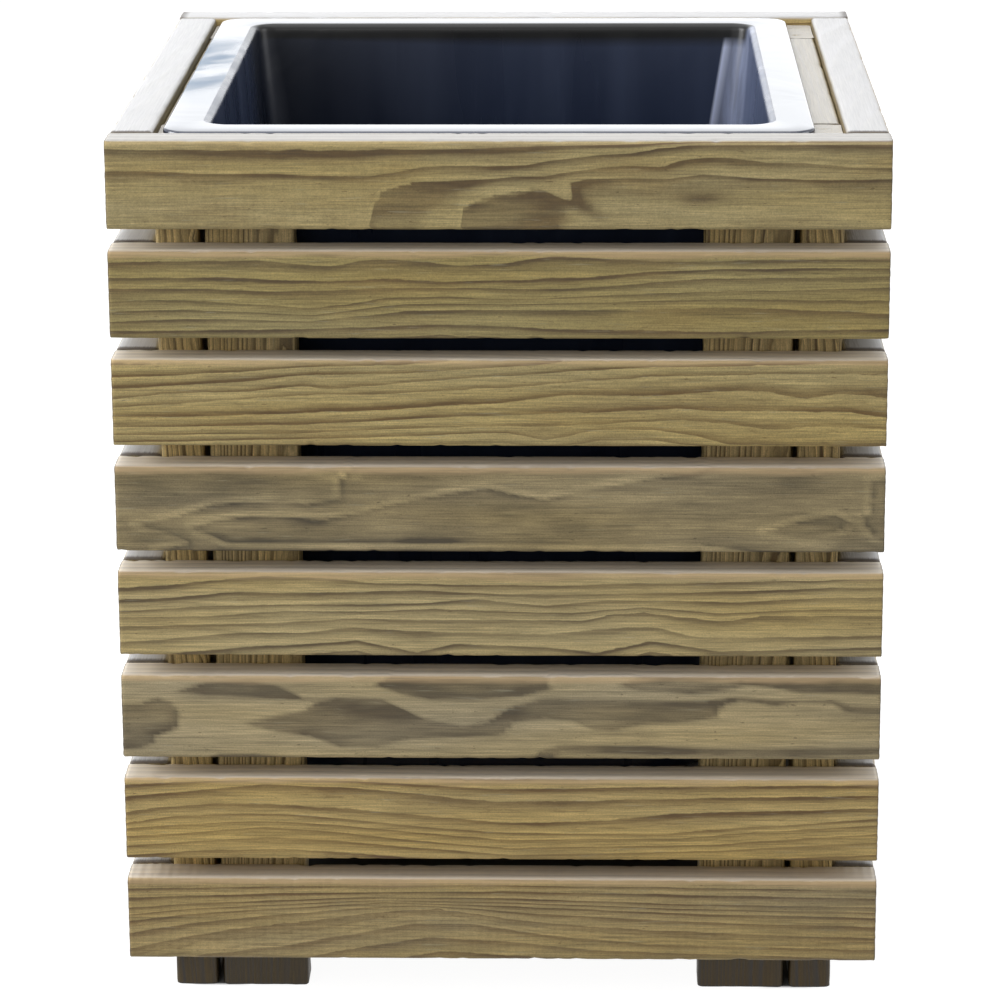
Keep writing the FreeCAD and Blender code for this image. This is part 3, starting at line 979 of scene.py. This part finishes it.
def liner_stations():
    """(inset, height, corner) from under the floor, up outside, over the rim and down inside."""
    low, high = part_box("liner")
    rim_top = high.z
    floor = low.z + liner_wall
    wall_top = rim_top - shoulder_round + shoulder_round * math.sin(draft)
    wall_top_inset = rim_flat + shoulder_round * math.cos(draft)
    wall_low = floor + bottom_round - bottom_round * math.sin(draft)
    wall_low_inset = wall_top_inset + (wall_top - wall_low) * math.tan(draft)
    low_centre = wall_low_inset + bottom_round * math.cos(draft)
    arc_shares = spaced(0, 1, 1 / arc_steps)

    def corner_at(inset, height):
        level = min(max(height, wall_low), wall_top)
        share = (wall_top - level) / (wall_top - wall_low)
        wall_inset = wall_top_inset + (wall_top - level) * math.tan(draft)
        return opening_corner + (bottom_corner - opening_corner) * share + wall_inset - inset

    def station(inset, height):
        return inset, height, corner_at(inset, height)

    def bottom(radius):
        turns = [draft + (math.pi / 2 - draft) * share for share in arc_shares]
        centre = floor + bottom_round
        return [station(low_centre - radius * math.cos(t), centre - radius * math.sin(t)) for t in turns]

    def shoulder(radius):
        turns = [(math.pi / 2 - draft) * share for share in arc_shares]
        centre = rim_top - shoulder_round
        return [station(rim_flat + radius * math.sin(t), centre + radius * math.cos(t)) for t in turns]

    def wall(skin):
        top_inset = wall_top_inset - skin * math.cos(draft)
        even = spaced(wall_low, wall_top, wall_step)[1:-1]
        heights = [wall_low + wall_hold] + even + [wall_top - wall_hold]
        return [station(top_inset + (wall_top - z) * math.tan(draft), z) for z in heights]

    lip = []
    for step in range(lip_steps + 1):
        angle = math.pi / 2 * step / lip_steps
        inset = rim_edge_round * (1 - math.cos(angle))
        lip.append((inset, rim_top - rim_edge_round * (1 - math.sin(angle)), rim_corner - inset))
    under = [(liner_wall, rim_top - liner_wall, rim_corner - liner_wall),
             (liner_wall, rim_top - rim_lip, rim_corner - liner_wall),
             (0, rim_top - rim_lip, rim_corner)]
    flat = [(rim_flat / 2, rim_top, (lip[-1][2] + corner_at(rim_flat, rim_top)) / 2)]
    outside = bottom(bottom_round + liner_wall)[::-1] + wall(liner_wall)
    outside += shoulder(shoulder_round - liner_wall)[::-1]
    inside = shoulder(shoulder_round) + wall(0)[::-1] + bottom(bottom_round)
    return outside + under + lip + flat + inside


def liner(wall_look, rim_look):
    """The tub as one closed skin of rings, with the rim in a material of its own."""
    low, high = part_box("liner")
    centre = (low + high) / 2
    size = high - low
    stations = liner_stations()
    vertices = []
    for inset, height, corner in stations:
        halves = (size.x / 2 - inset, size.y / 2 - inset)
        outline = rounded_outline(*halves, corner, corner_steps, side_steps, side_steps)
        vertices += [(centre.x + point[0], centre.y + point[1], height) for point in outline]
    count = len(vertices) // len(stations)
    rings = [range(start, start + count) for start in range(0, len(vertices), count)]
    faces = []
    looks = []
    for index in range(1, len(rings)):
        on_rim = max(stations[index - 1][0], stations[index][0]) <= rim_flat
        faces += band(rings[index - 1], rings[index])
        looks += [1 if on_rim else 0] * count
    faces += [tuple(reversed(rings[0])), tuple(rings[-1])]
    looks += [0, 0]
    smooth = [True] * len(faces)
    piece = new_piece("liner_tub", vertices, faces, smooth, wall_look, "liner", ["liner"])
    piece.data.materials.append(rim_look)
    piece.data.polygons.foreach_set("material_index", looks)


# Floor, light and camera

# The floor glows white, apart from a shade under the box and behind the front legs. All in metres.
floor_half = 6.0
floor_bounce = (0.3, 0.3, 0.3, 1)
shade_bounce = (0.1, 0.1, 0.1, 1)
open_floor_level = 0.95
box_middle_y = 0.06
sideways_share = 0.62
shade_reach = 0.125
shade_edge = 0.16
bounce_edge = 0.2
leg_x = 0.192
leg_half = 0.012
leg_blur = 0.008
leg_front_y = -0.223
leg_shade_y = -0.06
sky_light = 0.29


def seen_plainly(n):
    """1 for rays from the camera, from gloss and through clear things, and 0 for the rest."""
    path = n.made("ShaderNodeLightPath", 0, {}).node.outputs
    mirrored = n.math("MAXIMUM", path["Is Glossy Ray"], path["Is Transmission Ray"])
    return n.math("MAXIMUM", path["Is Camera Ray"], mirrored)


def stage_floor():
    corners = [(x * floor_half, y * floor_half, 0) for x, y in ((-1, -1), (1, -1), (1, 1), (-1, 1))]
    mesh = bpy.data.meshes.new("floor")
    mesh.from_pydata(corners, [], [(0, 1, 2, 3)])
    floor = new_object("floor", mesh)
    n = Nodes(bpy.data.materials.new("floor_white"))
    x, y, z = n.split(n.place())
    away_x = n.math("ABSOLUTE", x)
    away_y = n.math("ABSOLUTE", n.minus(y, box_middle_y))
    away = n.math("MAXIMUM", n.times(away_x, sideways_share), away_y)
    open_floor = n.span(away, shade_reach, shade_edge, 0.0, open_floor_level)
    leg_gap = n.math("ABSOLUTE", n.minus(away_x, leg_x))
    behind_leg = n.times(n.span(leg_gap, leg_half, leg_half + leg_blur, 1.0, 0.0),
                         n.span(y, leg_front_y, leg_front_y + 0.004),
                         n.span(y, leg_shade_y, leg_shade_y + 0.04, 1.0, 0.0))
    glow = n.times(open_floor, n.minus(1.0, behind_leg))
    n.set("Roughness", 0.9)
    n.set("Specular IOR Level", 0.0)
    n.set("Base Color", n.mix(n.span(away, shade_reach, bounce_edge), shade_bounce, floor_bounce))
    n.set("Emission Color", (1, 1, 1, 1))
    n.set("Emission Strength", n.times(seen_plainly(n), glow))
    mesh.materials.append(n.owner)


def stage_world():
    n = Nodes(bpy.data.worlds.new("studio"), "Background")
    n.set("Color", (1, 1, 1, 1))
    n.set("Strength", n.span(seen_plainly(n), 0.0, 1.0, sky_light, 1.0))
    bpy.context.scene.world = n.owner


def softbox(name, place, target, size, watts, color=(1, 1, 1)):
    data = bpy.data.lights.new(name, "AREA")
    data.shape = "RECTANGLE"
    data.size, data.size_y = size
    data.energy = watts
    data.color = color
    lamp = new_object(name, data)
    lamp.location = place
    lamp.rotation_euler = (Vector(target) - Vector(place)).to_track_quat("-Z", "Y").to_euler()


def stage_lights():
    middle = (0, 0, 0.3)
    rim = (0, 0, 0.58)
    softbox("top_light", (-0.3, 0.2, 2.6), middle, (2.6, 2.6), watts=29)
    softbox("front_light", (-1.2, -2.6, 1.6), middle, (2.0, 1.6), watts=12)
    softbox("back_light", (0.0, 3.0, 1.5), rim, (2.8, 1.8), watts=23, color=(0.95, 0.975, 1))
    softbox("left_light", (-2.7, -0.4, 1.4), middle, (1.6, 1.6), watts=66)
    softbox("right_light", (2.7, -0.4, 1.4), middle, (1.6, 1.6), watts=20)


def photo_camera():
    data = bpy.data.cameras.new("camera")
    data.sensor_width = camera_sensor
    data.lens = camera_focal_pixels / image_pixels * camera_sensor
    data.shift_y = (axis_pixel_y - image_pixels / 2) / image_pixels
    camera = new_object("camera", data)
    camera.location = camera_place
    turn = Euler((math.pi / 2 - camera_down, 0, camera_turn), "XYZ").to_matrix()
    roll = Euler((0, 0, camera_roll), "XYZ").to_matrix()
    camera.rotation_euler = (turn @ roll).to_euler()
    bpy.context.scene.camera = camera


slats()
legs()
inner_boards()
screws()
liner(tub_plastic(), rim_plastic())
stage_floor()
stage_world()
stage_lights()
photo_camera()
bpy.context.scene.view_settings.view_transform = "Standard"
